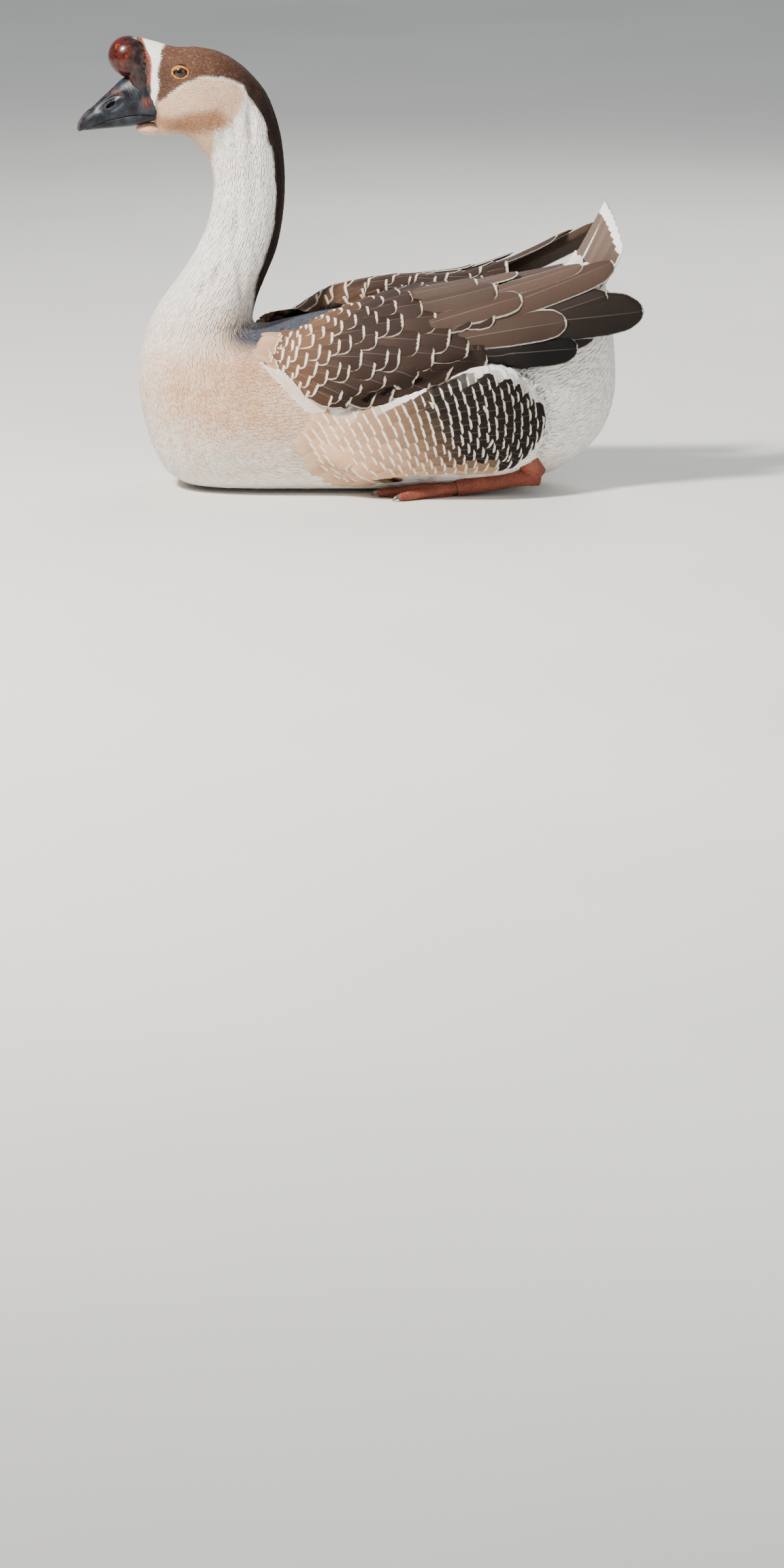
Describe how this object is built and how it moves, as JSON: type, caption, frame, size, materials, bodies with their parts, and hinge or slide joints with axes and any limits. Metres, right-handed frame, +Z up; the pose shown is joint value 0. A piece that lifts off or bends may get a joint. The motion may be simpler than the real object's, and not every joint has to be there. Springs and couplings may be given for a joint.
{
  "type": "african goose",
  "caption": "Life-size still model of a sitting African goose with forehead knob, folded wings, cocked tail and tucked legs.",
  "frame": {"origin": "on the floor under the middle of the goose's box", "axes": "+X from the bill to the tail, +Y to the goose's right side, +Z up"},
  "size_m": [0.6406, 0.2676, 0.5176],
  "materials": {
    "crown_feathers": "soft matt brown head feathers, white band at the knob, buff cheek",
    "neck_feathers": "soft matt white neck feathers with a dark brown stripe behind",
    "body_feathers": "soft matt buff breast and white belly feathers",
    "flank_feathers": "matt grey-brown feathers barred with white edges",
    "wing_feathers": "satin brown vanes with cream edges",
    "tail_feathers": "satin brown vanes with broad white edges",
    "bill_horn": "semi-gloss slate black horn",
    "knob_skin": "glossy dark red-brown horny skin, blackish on top",
    "eye": "wet glossy dark brown iris",
    "leg_skin": "matt scaly red-orange skin"
  },
  "bodies": {
    "root": {"head": "crown_feathers", "neck": "neck_feathers", "torso": "body_feathers", "flank_left": "flank_feathers", "flank_right": "flank_feathers", "wing_left": "wing_feathers", "wing_right": "wing_feathers", "tail": "tail_feathers", "bill_upper": "bill_horn", "bill_lower": "bill_horn", "knob": "knob_skin", "eye_left": "eye", "eye_right": "eye", "leg_left": "leg_skin", "leg_right": "leg_skin", "foot_left": "leg_skin", "foot_right": "leg_skin"}
  },
  "joints": []
}
